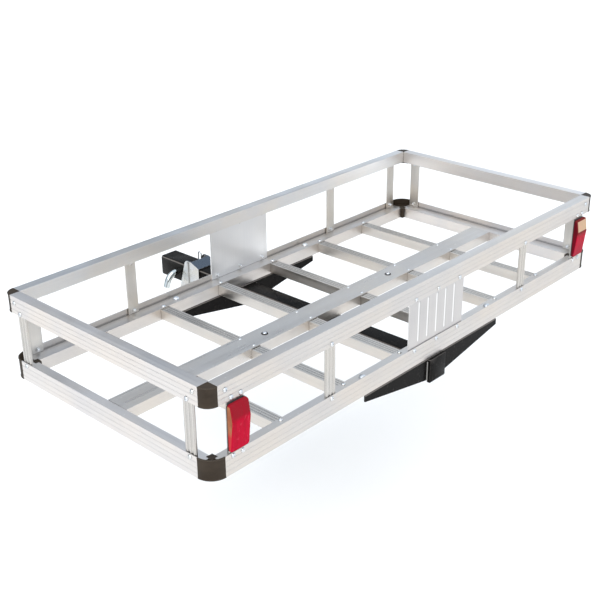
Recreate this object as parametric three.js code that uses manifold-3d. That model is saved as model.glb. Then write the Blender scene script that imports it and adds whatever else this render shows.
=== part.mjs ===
// Hitch cargo carrier: an aluminium basket of two rectangular rings on a black steel frame.
// Units are millimetres, +X along the length, +Y towards the vehicle, +Z up.
// Everything is laid out from the basket's plan centre with z = 0 at the lower ring's
// underside; the last lines move the origin to the middle of the hitch pin hole.
import * as THREE from 'three';
import { mergeVertices } from 'three/addons/utils/BufferGeometryUtils.js';
import Module from 'manifold-3d';

const wasm = await Module();
wasm.setup();

// ---------- driving dimensions ----------
const LENGTH = 1245;
const WIDTH = 571.5;
const HEIGHT = 179;
const GAP = 0.3;
const WALL = 1.8;
const LIP_WALL = 2;

const LOWER = { width: 33.2, bottom: 0, top: 27, lipEnd: 41, lipUp: true };
const UPPER = { width: 22.6, bottom: 150.5, top: HEIGHT, lipEnd: 141.5, lipUp: false };
const RAIL_GROOVES = { count: 3, depth: 0.35, halfTop: 1.5, halfFloor: 0.5 };

const CAP_PLATE = { proud: 0.8, thick: 2 };
const SPIGOT_LENGTH = 45;
const CORNER_PILLAR = 14;

const POST = { width: 27, thick: 4.2, web: 3, ribPitch: 9, ribWidth: 4 };
const POST_X = 322;
const CORNER_POST_X = 567.5;
const END_POST_Y = 235;
const LIGHT_PLATE_WIDTH = 40;
const LIGHT_X = 559.5;
const PANEL = { width: 182, thick: 2, ribs: 5, ribPitch: 29.5, ribWidth: 6.5, ribProud: 1.2 };
const PANEL_RIB_Z = [50, 138];

const SLATS = { count: 6, pitch: 171.4, width: 25.4, bottom: 2.1, top: 24.9, wall: 1.6, endSpace: 4 };
const SLAT_GROOVES = { places: [6.6, 0, -6.6], depth: 0.8, halfTop: 2, halfFloor: 1.4 };
const BAR = { width: 54, top: 27.5, thick: 2, bottom: 4 };

const LIGHT = { width: 45, height: 92, corner: 6, low: 45, trayDepth: 3, wall: 1.2 };
const BOARD = { inset: 4, thick: 1.6 };
// The lens stands out furthest at its crest, and slopes back above and below it.
const LENS = { inset: 0.6, wall: 1.8, top: 5, crest: 10.5, crestHeight: 60, bottom: 4 };

const BEAM = { halfLength: 225, top: -GAP, endDepth: 15.5, middleDepth: 55.5, sheet: 3, bend: 5 };
const BOLT_X = 212;
const BOLT_INSET = 17.5;
// A bolt's shank, hole, hexagon (across its corners, halved), nut height and free thread.
const BOLT = { radius: 4, hole: 4.6, hex: 7.5, nut: 6, free: 3, headRadius: 8, headHeight: 4.6 };

const TUBE_Z = -27.5;
const SPINE = { side: 44.45, wall: 3, front: 400 };
const SHANK = { side: 50.8, wall: 2.8, end: 540 };
const END_BLOCK = { side: 53, drop: 1.5, corner: 2, thick: 7.2, plug: 12 };
const SHANK_BOLTS_Y = [303, 328];
const TUBE_CORNER = { outside: 4, inside: 2 };

const PIN = { y: 479, radius: 7.95, bend: 30, bendStart: -33, turn: 1.2, tail: 13, end: 54, hole: 8.4 };
const PIN_NOSE = { length: 3, inset: 2 };
const CLIP = { x: 45, wire: 1.75, hole: 2.2, legLow: -21, legHigh: 26, offset: 10.6, flare: 5, tip: -17 };

const SADDLE = { back: 397, crest: 424, earTop: 446, earFoot: 468, inside: 25.9, sheet: 4, foot: -66 };
const SADDLE_LIP = { backTop: 1.5, crestTop: 12.5, shoulder: 6, thick: 3.2 };
const EAR_RIB = { back: 12, radius: 4, sunk: 1.2 };
const CLAMP = { y: 421, z: -60, radius: 4.2, hex: 8, head: 6, nut: 7, length: 14 };

// ---------- materials ----------
const finish = (color, roughness, metalness) => (
  new THREE.MeshStandardMaterial({ color, roughness, metalness })
);
const aluminium = finish(0xc9c7c5, 0.42, 0.9);
const capPlastic = finish(0x2c2520, 0.55, 0);
const blackSteel = finish(0x151413, 0.45, 0.3);
const zincPlate = finish(0xc3c2bd, 0.35, 0.95);
const chrome = finish(0xd8dcdc, 0.12, 1);
const redLens = finish(0xb01020, 0.15, 0);
const housingPlastic = finish(0x1b1a1a, 0.5, 0);
const boardGreen = finish(0x2d5a3a, 0.6, 0);

// ---------- solids and geometry helpers ----------
function toSolid(geometry) {
  const bare = geometry.index ? geometry.toNonIndexed() : geometry.clone();
  bare.deleteAttribute('normal');
  bare.deleteAttribute('uv');
  const merged = mergeVertices(bare, 1e-4);
  return new wasm.Manifold(new wasm.Mesh({
    numProp: 3,
    vertProperties: new Float32Array(merged.attributes.position.array),
    triVerts: new Uint32Array(merged.index.array),
  }));
}

function toGeometry(solid) {
  const mesh = solid.getMesh();
  const geometry = new THREE.BufferGeometry();
  geometry.setAttribute('position', new THREE.BufferAttribute(new Float32Array(mesh.vertProperties), 3));
  geometry.setIndex(new THREE.BufferAttribute(new Uint32Array(mesh.triVerts), 1));
  geometry.computeVertexNormals();
  return geometry;
}

const outline = (points) => new THREE.Shape(points.map(([x, y]) => new THREE.Vector2(x, y)));

// Each frame says where a section's own x, y and depth point: the y frame runs backwards.
const FRAMES = {
  x: [new THREE.Vector3(0, 1, 0), new THREE.Vector3(0, 0, 1), new THREE.Vector3(1, 0, 0)],
  y: [new THREE.Vector3(1, 0, 0), new THREE.Vector3(0, 0, 1), new THREE.Vector3(0, -1, 0)],
  z: [new THREE.Vector3(1, 0, 0), new THREE.Vector3(0, 1, 0), new THREE.Vector3(0, 0, 1)],
};

// A straight prism of a section: (y, z) along x, (x, z) along y or (x, y) along z.
function prism(axis, shape, low, high, curveSegments = 6) {
  const options = { depth: high - low, bevelEnabled: false, curveSegments };
  const geometry = new THREE.ExtrudeGeometry(shape, options);
  geometry.applyMatrix4(new THREE.Matrix4().makeBasis(...FRAMES[axis]));
  const start = { x: [low, 0, 0], y: [0, high, 0], z: [0, 0, low] };
  geometry.translate(...start[axis]);
  return toSolid(geometry);
}

function box([x0, y0, z0], [x1, y1, z1]) {
  const geometry = new THREE.BoxGeometry(x1 - x0, y1 - y0, z1 - z0);
  geometry.translate((x0 + x1) / 2, (y0 + y1) / 2, (z0 + z1) / 2);
  return toSolid(geometry);
}

// A round or polygonal bar along an axis, centred on the point (a, b) of the other two.
function bar(axis, radius, low, high, a, b, sides = 16) {
  const shape = new THREE.Shape();
  for (let i = 0; i < sides; i += 1) {
    const angle = (2 * Math.PI * (i + 0.5)) / sides;
    const point = [a + radius * Math.cos(angle), b + radius * Math.sin(angle)];
    if (i === 0) shape.moveTo(...point);
    else shape.lineTo(...point);
  }
  return prism(axis, shape, low, high);
}

function roundedRectangle(width, height, radius, x = 0, y = 0) {
  const [w, h] = [width / 2, height / 2];
  const shape = new THREE.Shape();
  shape.moveTo(x - w + radius, y - h);
  shape.absarc(x + w - radius, y - h + radius, radius, -Math.PI / 2, 0);
  shape.absarc(x + w - radius, y + h - radius, radius, 0, Math.PI / 2);
  shape.absarc(x - w + radius, y + h - radius, radius, Math.PI / 2, Math.PI);
  shape.absarc(x - w + radius, y - h + radius, radius, Math.PI, 1.5 * Math.PI);
  return shape;
}

const carrier = new THREE.Group();
const basket = new THREE.Group();
carrier.add(basket);

function place(name, solid, material, turn = 0, x = 0, y = 0) {
  const mesh = new THREE.Mesh(toGeometry(solid), material);
  mesh.name = name;
  mesh.rotation.z = turn;
  mesh.position.set(x, y, 0);
  basket.add(mesh);
}

// The four sides of the basket: a piece drawn on the rear side is turned onto the others.
const QUARTER = Math.PI / 2;
// ends names the side's low and high ends as drawn, before the turn.
const SIDES = [
  { name: 'rear', turn: 0, outer: WIDTH / 2, span: LENGTH, ends: ['left', 'right'] },
  { name: 'right', turn: QUARTER, outer: LENGTH / 2, span: WIDTH, ends: ['rear', 'front'] },
  { name: 'front', turn: 2 * QUARTER, outer: WIDTH / 2, span: LENGTH, ends: ['right', 'left'] },
  { name: 'left', turn: -QUARTER, outer: LENGTH / 2, span: WIDTH, ends: ['front', 'rear'] },
];
const slatPositions = [];
for (let i = 0; i < SLATS.count; i += 1) slatPositions.push((i - (SLATS.count - 1) / 2) * SLATS.pitch);

// ---------- rails ----------
// A closed tube with a lip on its outer face, up on the lower ring and down on the upper.
// Shallow grooves run along the outer face.
function railSolid(level, outer, halfLength) {
  const inner = -outer + level.width;
  const lip = -outer + LIP_WALL;
  const heights = [level.bottom, level.top, level.lipEnd];
  const low = Math.min(...heights);
  const high = Math.max(...heights);
  const { count, depth, halfTop, halfFloor } = RAIL_GROOVES;
  const face = [[-outer, low]];
  for (let i = 1; i <= count; i += 1) {
    const z = low + (i * (high - low)) / (count + 1);
    face.push([-outer, z - halfTop], [-outer + depth, z - halfFloor]);
    face.push([-outer + depth, z + halfFloor], [-outer, z + halfTop]);
  }
  face.push([-outer, high]);
  const back = level.lipUp
    ? [[lip, high], [lip, level.top], [inner, level.top], [inner, low]]
    : [[inner, high], [inner, level.bottom], [lip, level.bottom], [lip, low]];
  const tube = prism('x', outline([...face, ...back]), -halfLength, halfLength);
  const hollow = box(
    [-halfLength - 1, lip, level.bottom + WALL],
    [halfLength + 1, inner - WALL, level.top - WALL],
  );
  return tube.subtract(hollow);
}

function addRails() {
  for (const side of SIDES) {
    const long = side.span === LENGTH;
    const upperHalf = side.span / 2 - UPPER.width - GAP;
    place(`upper_rail_${side.name}`, railSolid(UPPER, side.outer, upperHalf), aluminium, side.turn);

    const lowerHalf = side.span / 2 - LOWER.width - GAP;
    const innerFace = -side.outer + LOWER.width;
    let rail = railSolid(LOWER, side.outer, lowerHalf);
    const notch = CORNER_PILLAR / 2 + GAP;
    for (const end of [-1, 1]) {
      const x = end * (lowerHalf + GAP);
      const corner = box([x - notch, innerFace - notch, -1], [x + notch, innerFace + 1, LOWER.top + 1]);
      rail = rail.subtract(corner);
    }
    if (long) {
      for (const x of slatPositions) {
        const half = SLATS.width / 2 + GAP;
        const low = [x - half, innerFace - WALL - 1, WALL];
        rail = rail.subtract(box(low, [x + half, innerFace + 1, LOWER.top - WALL]));
      }
      for (const x of [-BOLT_X, BOLT_X]) {
        rail = rail.subtract(bar('z', BOLT.hole, -1, LOWER.top + 1, x, -side.outer + BOLT_INSET));
      }
    }
    place(`lower_rail_${side.name}`, rail, aluminium, side.turn);
  }
}

// ---------- corner caps ----------
// A quarter-round block with a tongue into each rail, drawn about the inside corner. A curved
// wall carries the rails' lips round the corner, and the outer edges stand a little proud.
function quarterDisc(radius, low, high) {
  const shape = new THREE.Shape();
  shape.moveTo(0, 0);
  shape.lineTo(-radius, 0);
  shape.absarc(0, 0, radius, Math.PI, 1.5 * Math.PI);
  shape.lineTo(0, 0);
  return prism('z', shape, low, high, 12);
}

function capSolid(level) {
  const low = Math.min(level.bottom, level.lipEnd);
  const high = Math.max(level.top, level.lipEnd);
  const { proud, thick } = CAP_PLATE;
  let cap = quarterDisc(level.width, low, high);
  for (const z of [low, high - thick]) cap = cap.add(quarterDisc(level.width + proud, z, z + thick));
  const hollow = quarterDisc(level.width - LIP_WALL, low - 1, high + 1);
  const [hollowLow, hollowHigh] = level.lipUp ? [level.top, high + 1] : [low - 1, level.bottom];
  const reach = level.width + 1;
  const band = box([-reach, -reach, hollowLow], [1, 1, hollowHigh]);
  cap = cap.subtract(hollow.intersect(band));

  const near = WALL + GAP;
  const far = level.width - LIP_WALL - GAP;
  const [bottom, top] = [level.bottom + near, level.top - near];
  cap = cap.add(box([-1, -far, bottom], [SPIGOT_LENGTH, -near, top]));
  cap = cap.add(box([-far, -1, bottom], [-near, SPIGOT_LENGTH, top]));
  if (level === LOWER) {
    const half = CORNER_PILLAR / 2;
    cap = cap.add(box([-half, -half, low], [half, half, level.top - GAP]));
  }
  return cap;
}

function addCaps() {
  const corners = [
    { name: 'rear_left', x: -1, y: -1, turn: 0 },
    { name: 'rear_right', x: 1, y: -1, turn: QUARTER },
    { name: 'front_right', x: 1, y: 1, turn: 2 * QUARTER },
    { name: 'front_left', x: -1, y: 1, turn: -QUARTER },
  ];
  for (const [level, label] of [[LOWER, 'lower'], [UPPER, 'upper']]) {
    for (const corner of corners) {
      const x = corner.x * (LENGTH / 2 - level.width);
      const y = corner.y * (WIDTH / 2 - level.width);
      place(`${label}_cap_${corner.name}`, capSolid(level), capPlastic, corner.turn, x, y);
    }
  }
}

// ---------- posts and panels, standing between the two lips ----------
const STAND_LOW = LOWER.top + GAP;
const STAND_HIGH = UPPER.bottom - GAP;
const RIB_SLOPE = 1;

function ribbedPlate(outer, x, width, web, ribs, ribPitch, ribWidth, ribProud) {
  const back = -outer + LIP_WALL + GAP + web + ribProud;
  const points = [[x + width / 2, back], [x - width / 2, back], [x - width / 2, back - web]];
  for (let i = 0; i < ribs; i += 1) {
    const middle = x + (i - (ribs - 1) / 2) * ribPitch;
    const [a, b] = [middle - ribWidth / 2, middle + ribWidth / 2];
    points.push([a, back - web], [a + RIB_SLOPE, back - web - ribProud]);
    points.push([b - RIB_SLOPE, back - web - ribProud], [b, back - web]);
  }
  points.push([x + width / 2, back - web]);
  return outline(points);
}

function addPosts() {
  const ribProud = POST.thick - POST.web;
  const postAt = (outer, x) => prism(
    'z',
    ribbedPlate(outer, x, POST.width, POST.web, 3, POST.ribPitch, POST.ribWidth, ribProud),
    STAND_LOW,
    STAND_HIGH,
  );
  for (const side of SIDES) {
    const reach = side.span === LENGTH ? POST_X : END_POST_Y;
    side.ends.forEach((label, end) => {
      const sign = end === 0 ? -1 : 1;
      place(`post_${side.name}_${label}`, postAt(side.outer, sign * reach), aluminium, side.turn);
      if (side.name === 'front') {
        const corner = postAt(side.outer, sign * CORNER_POST_X);
        place(`corner_post_front_${label}`, corner, aluminium, side.turn);
      }
    });
  }
}

function addPanels() {
  const outer = WIDTH / 2;
  const back = -outer + LIP_WALL + GAP + PANEL.ribProud + PANEL.thick;
  const front = back - PANEL.thick;
  let ribbed = box([-PANEL.width / 2, front, STAND_LOW], [PANEL.width / 2, back, STAND_HIGH]);
  const half = PANEL.ribWidth / 2;
  const root = front + PANEL.thick / 4;
  const crest = front - PANEL.ribProud;
  for (let i = 0; i < PANEL.ribs; i += 1) {
    const x = (i - (PANEL.ribs - 1) / 2) * PANEL.ribPitch;
    const rib = outline([
      [x - half, root], [x - half + RIB_SLOPE, crest], [x + half - RIB_SLOPE, crest], [x + half, root],
    ]);
    ribbed = ribbed.add(prism('z', rib, ...PANEL_RIB_Z));
  }
  place('panel_rear', ribbed, aluminium);
  place('panel_front', ribbed, aluminium, 2 * QUARTER);
}

// ---------- bed ----------
function addSlats() {
  const reach = WIDTH / 2 - LIP_WALL - WALL - SLATS.endSpace;
  const { places, depth, halfTop, halfFloor } = SLAT_GROOVES;
  slatPositions.forEach((x, i) => {
    const half = SLATS.width / 2;
    const top = SLATS.top;
    const section = [[x - half, SLATS.bottom], [x + half, SLATS.bottom], [x + half, top]];
    for (const place of places) {
      const middle = x + place;
      section.push([middle + halfTop, top], [middle + halfFloor, top - depth]);
      section.push([middle - halfFloor, top - depth], [middle - halfTop, top]);
    }
    section.push([x - half, top]);
    const inside = box(
      [x - half + SLATS.wall, -reach - 1, SLATS.bottom + SLATS.wall],
      [x + half - SLATS.wall, reach + 1, top - depth - SLATS.wall],
    );
    place(`slat_${i + 1}`, prism('y', outline(section), -reach, reach).subtract(inside), aluminium);
  });
}

function addCentreBar() {
  const half = BAR.width / 2;
  const reach = LENGTH / 2 - LOWER.width - GAP;
  const underside = BAR.top - BAR.thick;
  let channel = box([-reach, -half, BAR.bottom], [reach, half, BAR.top]).subtract(
    box([-reach - 1, -half + BAR.thick, BAR.bottom - 1], [reach + 1, half - BAR.thick, underside]),
  );
  for (const x of slatPositions) {
    const notch = SLATS.width / 2 + GAP;
    const saddle = box([x - notch, -half - 1, 0], [x + notch, half + 1, SLATS.top + GAP]);
    channel = channel.subtract(saddle);
  }
  place('centre_bar', channel, aluminium);
}

// ---------- tail lights: mounting plate, tray, board and lens ----------
function addLights() {
  const outer = WIDTH / 2;
  const middleZ = LIGHT.low + LIGHT.height / 2;
  const trayBack = -outer + LIP_WALL;
  const trayFront = trayBack - LIGHT.trayDepth;
  const lensBack = trayFront - GAP;
  for (const [label, sign] of [['left', -1], ['right', 1]]) {
    const x = sign * LIGHT_X;
    const block = (inset, low, high) => {
      const [w, h] = [LIGHT.width - 2 * inset, LIGHT.height - 2 * inset];
      return prism('y', roundedRectangle(w, h, LIGHT.corner - inset, x, middleZ), low, high);
    };
    const plate = box(
      [x - LIGHT_PLATE_WIDTH / 2, trayBack + GAP, STAND_LOW],
      [x + LIGHT_PLATE_WIDTH / 2, trayBack + GAP + POST.web, STAND_HIGH],
    );
    place(`light_plate_${label}`, plate, aluminium);

    const well = block(LIGHT.wall, trayFront - 1, trayBack - LIGHT.wall);
    place(`light_housing_${label}`, block(0, trayFront, trayBack).subtract(well), housingPlastic);

    const boardBack = trayBack - LIGHT.wall - GAP;
    const board = block(LIGHT.wall + BOARD.inset, boardBack - BOARD.thick, boardBack);
    place(`light_board_${label}`, board, boardGreen);

    const { inset, wall, top, crest, crestHeight, bottom } = LENS;
    const [low, high] = [LIGHT.low, LIGHT.low + LIGHT.height];
    const wedge = (back, thin) => prism('x', outline([
      [back, low], [lensBack - bottom + thin, low], [lensBack - crest + thin, low + crestHeight],
      [lensBack - top + thin, high], [back, high],
    ]), x - LIGHT.width, x + LIGHT.width);
    const shell = block(inset, lensBack - crest - 1, lensBack).intersect(wedge(lensBack, 0));
    const inside = block(inset + wall, lensBack - crest - 1, lensBack + 1);
    const lens = shell.subtract(inside.intersect(wedge(lensBack + 1, wall)));
    place(`light_lens_${label}`, lens, redLens);
  }
}

// ---------- steel frame ----------
// A folded channel, open below, deepest in the middle; the spine tube passes through it.
function beamSolid() {
  const outer = WIDTH / 2;
  const inner = outer - LOWER.width;
  const { halfLength, top, endDepth, middleDepth, sheet, bend } = BEAM;
  const side = (drop, reach) => outline([
    [-reach, top - drop], [reach, top - drop], [reach, -endDepth - drop], [0, -middleDepth - drop],
    [-reach, -endDepth - drop],
  ]);
  const section = new THREE.Shape();
  section.moveTo(-outer, -middleDepth - 1);
  section.lineTo(-outer, top - bend);
  section.absarc(-outer + bend, top - bend, bend, Math.PI, Math.PI / 2, true);
  section.absarc(-inner - bend, top - bend, bend, Math.PI / 2, 0, true);
  section.lineTo(-inner, -middleDepth - 1);
  let beam = prism('y', side(0, halfLength), -outer, -inner).intersect(
    prism('x', section, -halfLength - 1, halfLength + 1, 4));
  beam = beam.subtract(prism('y', side(sheet, halfLength + 1), -outer + sheet, -inner - sheet));
  const window = SPINE.side / 2 + GAP;
  beam = beam.subtract(box([-window, -outer - 1, TUBE_Z - window], [window, -inner + 1, TUBE_Z + window]));
  for (const x of [-BOLT_X, BOLT_X]) {
    beam = beam.subtract(bar('z', BOLT.hole, -sheet - 2, 1, x, -outer + BOLT_INSET));
  }
  return beam;
}

function squareTube(side, wall, back, front) {
  const bore = side - 2 * wall;
  const { outside, inside } = TUBE_CORNER;
  return prism('y', roundedRectangle(side, side, outside, 0, TUBE_Z), back, front, 3).subtract(
    prism('y', roundedRectangle(bore, bore, inside, 0, TUBE_Z), back - 1, front + 1, 3));
}

function addFrame() {
  const outer = WIDTH / 2;
  place('frame_beam_rear', beamSolid(), blackSteel);
  place('frame_beam_front', beamSolid(), blackSteel, 2 * QUARTER);

  const across = SHANK.side;
  const sideHole = (y) => bar('x', BOLT.radius + GAP, -across, across, y, TUBE_Z, 12);
  let spine = squareTube(SPINE.side, SPINE.wall, -outer, SPINE.front);
  let shank = squareTube(SHANK.side, SHANK.wall, outer + GAP, SHANK.end);
  shank = shank.subtract(bar('x', PIN.hole, -across, across, PIN.y, TUBE_Z, 24));
  SHANK_BOLTS_Y.forEach((y, i) => {
    spine = spine.subtract(sideHole(y));
    shank = shank.subtract(sideHole(y));
    const face = across / 2 + GAP;
    const bolt = bar('x', BOLT.radius, -face - 1, face + BOLT.nut + BOLT.free, y, TUBE_Z, 12)
      .add(bar('x', BOLT.hex, -face - BOLT.headHeight, -face, y, TUBE_Z, 6))
      .add(bar('x', BOLT.hex, face, face + BOLT.nut, y, TUBE_Z, 6));
    place(`shank_bolt_${i + 1}`, bolt, zincPlate);
  });
  place('spine_tube', spine, blackSteel);
  place('hitch_shank', shank, blackSteel);

  const { side, drop, corner, thick, plug } = END_BLOCK;
  const plugSide = SPINE.side - 2 * (SPINE.wall + GAP);
  const plugShape = roundedRectangle(plugSide, plugSide, TUBE_CORNER.inside + 1, 0, TUBE_Z);
  const plateShape = roundedRectangle(side, side, corner, 0, TUBE_Z - drop);
  const block = prism('y', plateShape, -outer - GAP - thick, -outer - GAP, 3)
    .add(prism('y', plugShape, -outer - 1, -outer + plug, 3));
  place('spine_end_block', block, blackSteel);
}

// Round-headed bolts hold the rails down on the beams, each with its nut under the flange.
function addFrameBolts() {
  const { radius, hex, nut, free, headRadius, headHeight } = BOLT;
  const head = LOWER.top + GAP;
  const flangeUnder = BEAM.top - BEAM.sheet - GAP;
  const tip = flangeUnder - nut - free;
  const dome = [[1, 0], [0.82, 0.57], [0.45, 0.91], [0, 1]];
  const profile = [[0, tip], [radius, tip], [radius, head]];
  for (const [r, h] of dome) profile.push([r * headRadius, head + h * headHeight]);
  for (const [label, sideY] of [['rear', -1], ['front', 1]]) {
    for (const [end, sign] of [['left', -1], ['right', 1]]) {
      const [x, y] = [sign * BOLT_X, sideY * (WIDTH / 2 - BOLT_INSET)];
      const lathe = new THREE.LatheGeometry(profile.map(([r, z]) => new THREE.Vector2(r, z)), 12);
      lathe.rotateX(Math.PI / 2);
      lathe.translate(x, y, 0);
      const bolt = toSolid(lathe).add(bar('z', hex, flangeUnder - nut, flangeUnder, x, y, 6));
      place(`frame_bolt_${label}_${end}`, bolt, zincPlate);
    }
  }
}

// ---------- hitch pin and clip ----------
// The pin lies across the shank and its handle bends down on the left side.
class HandlePath extends THREE.Curve {
  getPoint(t, target = new THREE.Vector3()) {
    const arc = PIN.bend * PIN.turn;
    const run = t * (arc + PIN.tail);
    const angle = Math.min(run, arc) / PIN.bend;
    const straight = Math.max(run - arc, 0);
    const aside = PIN.bend * Math.sin(angle) + straight * Math.cos(angle);
    const drop = PIN.bend * (1 - Math.cos(angle)) + straight * Math.sin(angle);
    return target.set(PIN.bendStart - aside, PIN.y, TUBE_Z - drop);
  }
}

function circleShape(radius, sides) {
  const points = [];
  for (let i = 0; i < sides; i += 1) {
    const angle = (2 * Math.PI * (i + 0.5)) / sides;
    points.push([radius * Math.cos(angle), radius * Math.sin(angle)]);
  }
  return outline(points);
}

function addPin() {
  const sides = 16;
  const handle = toSolid(new THREE.ExtrudeGeometry(circleShape(PIN.radius, sides), {
    steps: 12, extrudePath: new HandlePath(),
  }));
  const shoulder = PIN.end - PIN_NOSE.length;
  const straight = bar('x', PIN.radius, PIN.bendStart - GAP, shoulder, PIN.y, TUBE_Z, sides);
  const nose = bar('x', PIN.radius - PIN_NOSE.inset, shoulder - 1, PIN.end, PIN.y, TUBE_Z, sides);
  const across = 2 * PIN.radius;
  const crossHole = bar('z', CLIP.hole, TUBE_Z - across, TUBE_Z + across, CLIP.x, PIN.y, 12);
  place('hitch_pin', straight.add(nose).add(handle).subtract(crossHole), chrome);
}

// A hairpin of spring wire: one leg through the pin, a loop above it, the other leg outside.
class ClipPath extends THREE.CurvePath {
  constructor() {
    super();
    const { x, legLow, legHigh, offset, flare, tip } = CLIP;
    const point = (y, z) => new THREE.Vector3(x, PIN.y + y, TUBE_Z + z);
    const crown = legHigh + (2 / 3) * offset;
    const knee = -PIN.radius;
    const bend = (knee + tip) / 2;
    this.add(new THREE.LineCurve3(point(0, legLow), point(0, legHigh)));
    this.add(new THREE.CubicBezierCurve3(
      point(0, legHigh), point(0, crown), point(-offset, crown), point(-offset, legHigh)));
    this.add(new THREE.LineCurve3(point(-offset, legHigh), point(-offset, knee)));
    this.add(new THREE.QuadraticBezierCurve3(
      point(-offset, knee), point(-offset, bend), point(-offset - flare, tip)));
  }
}

function addClip() {
  const wire = toSolid(new THREE.ExtrudeGeometry(circleShape(CLIP.wire, 8), {
    steps: 44, extrudePath: new ClipPath(),
  }));
  place('pin_clip', wire, zincPlate);
}

// ---------- hitch tightener ----------
// A saddle over the shank: a lip slopes down onto it, two ears hang beside it, and a bolt
// under the shank draws them together.
function addTightener() {
  const { back, crest, earTop, earFoot, inside, sheet, foot } = SADDLE;
  const { backTop, crestTop, shoulder, thick } = SADDLE_LIP;
  const reach = inside + sheet;
  const clear = 5;
  const ears = outline([
    [back, foot], [earFoot, foot], [earTop, (crestTop + backTop) / 2], [earTop - shoulder, crestTop],
    [crest, crestTop], [back, backTop],
  ]);
  const opening = outline([
    [back - clear, foot - clear], [earFoot + clear, foot - clear], [earFoot + clear, crestTop + clear],
    [crest, crestTop + clear], [crest, crestTop - thick], [back, backTop - thick],
    [back - clear, backTop - thick - 2],
  ]);
  let saddle = prism('x', ears, -reach, reach).subtract(prism('x', opening, -inside, inside));
  const ribLow = foot + 2 * EAR_RIB.radius;
  const ribHigh = crestTop - thick;
  for (const sign of [-1, 1]) {
    const x = sign * (reach - EAR_RIB.sunk);
    saddle = saddle.add(bar('z', EAR_RIB.radius, ribLow, ribHigh, x, earTop - EAR_RIB.back, 12));
  }
  saddle = saddle.subtract(box([-inside, back, foot], [inside, earFoot, backTop - thick]));
  const hole = CLAMP.radius + GAP;
  saddle = saddle.subtract(bar('x', hole, -reach - clear, reach + clear, CLAMP.y, CLAMP.z, 12));
  place('tightener_saddle', saddle, zincPlate);

  const face = reach + GAP;
  const bolt = bar('x', CLAMP.radius, -face - 1, face + CLAMP.length, CLAMP.y, CLAMP.z, 12)
    .add(bar('x', CLAMP.hex, -face - CLAMP.head, -face, CLAMP.y, CLAMP.z, 6));
  place('tightener_bolt', bolt, zincPlate);
  const nut = bar('x', CLAMP.hex, face, face + CLAMP.nut, CLAMP.y, CLAMP.z, 6)
    .subtract(bar('x', hole, face - 1, face + CLAMP.nut + 1, CLAMP.y, CLAMP.z, 12));
  place('tightener_nut', nut, zincPlate);
}

addRails();
addCaps();
addPosts();
addPanels();
addSlats();
addCentreBar();
addLights();
addFrame();
addFrameBolts();
addPin();
addClip();
addTightener();

basket.position.set(0, -PIN.y, -TUBE_Z);

export default carrier;
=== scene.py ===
import math
import random

import bmesh
import bpy
from mathutils import Euler, Matrix, Vector
from mathutils.geometry import interpolate_bezier


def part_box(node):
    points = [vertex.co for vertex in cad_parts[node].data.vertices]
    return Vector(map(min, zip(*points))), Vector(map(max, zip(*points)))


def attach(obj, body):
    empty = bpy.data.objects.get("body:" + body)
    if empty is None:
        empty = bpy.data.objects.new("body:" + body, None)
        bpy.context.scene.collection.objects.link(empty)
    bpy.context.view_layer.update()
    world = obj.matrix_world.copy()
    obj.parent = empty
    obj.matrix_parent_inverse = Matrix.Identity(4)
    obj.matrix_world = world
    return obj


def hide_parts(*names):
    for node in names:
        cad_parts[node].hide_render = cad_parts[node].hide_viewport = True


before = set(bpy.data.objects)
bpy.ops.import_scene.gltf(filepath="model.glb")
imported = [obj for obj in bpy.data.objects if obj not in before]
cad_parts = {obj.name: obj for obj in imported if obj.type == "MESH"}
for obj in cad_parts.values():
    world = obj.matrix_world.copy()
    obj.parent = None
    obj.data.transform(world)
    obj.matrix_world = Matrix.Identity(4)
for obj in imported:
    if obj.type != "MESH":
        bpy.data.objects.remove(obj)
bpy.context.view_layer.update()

MM = 0.001
X, Y, Z = Vector((1, 0, 0)), Vector((0, 1, 0)), Vector((0, 0, 1))
random.seed(7)

# The basket's plan centre, at the underside of the lower rails.
rear_low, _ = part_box("lower_rail_rear")
_, front_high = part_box("lower_rail_front")
BASKET = Vector((0, (rear_low.y + front_high.y) / 2, rear_low.z))


def mm(x, y, z):
    return Vector((x, y, z)) * MM


def middle(node):
    low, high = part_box(node)
    return (low + high) / 2


def add_object(name, data):
    made = bpy.data.objects.new(name, data)
    bpy.context.scene.collection.objects.link(made)
    return made


# ---------- camera, floor and light ----------
CAMERA_OFFSET = Vector((-1.5651, -1.3619, 0.9994))
CAMERA_YAW, CAMERA_PITCH, CAMERA_ROLL = 0.82306, 0.43607, -0.0093
CAMERA_LENS, SENSOR_WIDTH = 62.51, 36

FLOOR_DROP, FLOOR_SIZE = 0.45, 40
FLOOR_COLOR = (0.92, 0.885, 0.845)

# The sky's colours by height, and the brighter blue that some of the rails' tops reflect.
SKY_STOPS = (
    (0.0, (0.66, 0.69, 0.72)),
    (0.25, (0.19, 0.22, 0.27)),
    (0.45, (0.31, 0.36, 0.43)),
    (0.62, (0.70, 0.78, 0.90)),
    (1.0, (0.95, 0.98, 1.0)),
)
SKY_BRIGHT = (1.03, 1.15, 1.29)
SKY_SPLIT_START, SKY_SPLIT_END = 0.54, 0.62

SUN_POWER, SUN_ANGLE, SUN_COLOR = 1.3, math.radians(60), (1.0, 0.985, 0.96)
SUN_DIRECTION = Vector((0.42, 0.20, -1.0))
KEY_OFFSET, KEY_SIZE = Vector((-2.6, -1.9, 2.0)), (1.4, 0.9)
KEY_POWER, KEY_COLOR = 24, (1.0, 0.98, 0.95)


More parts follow.
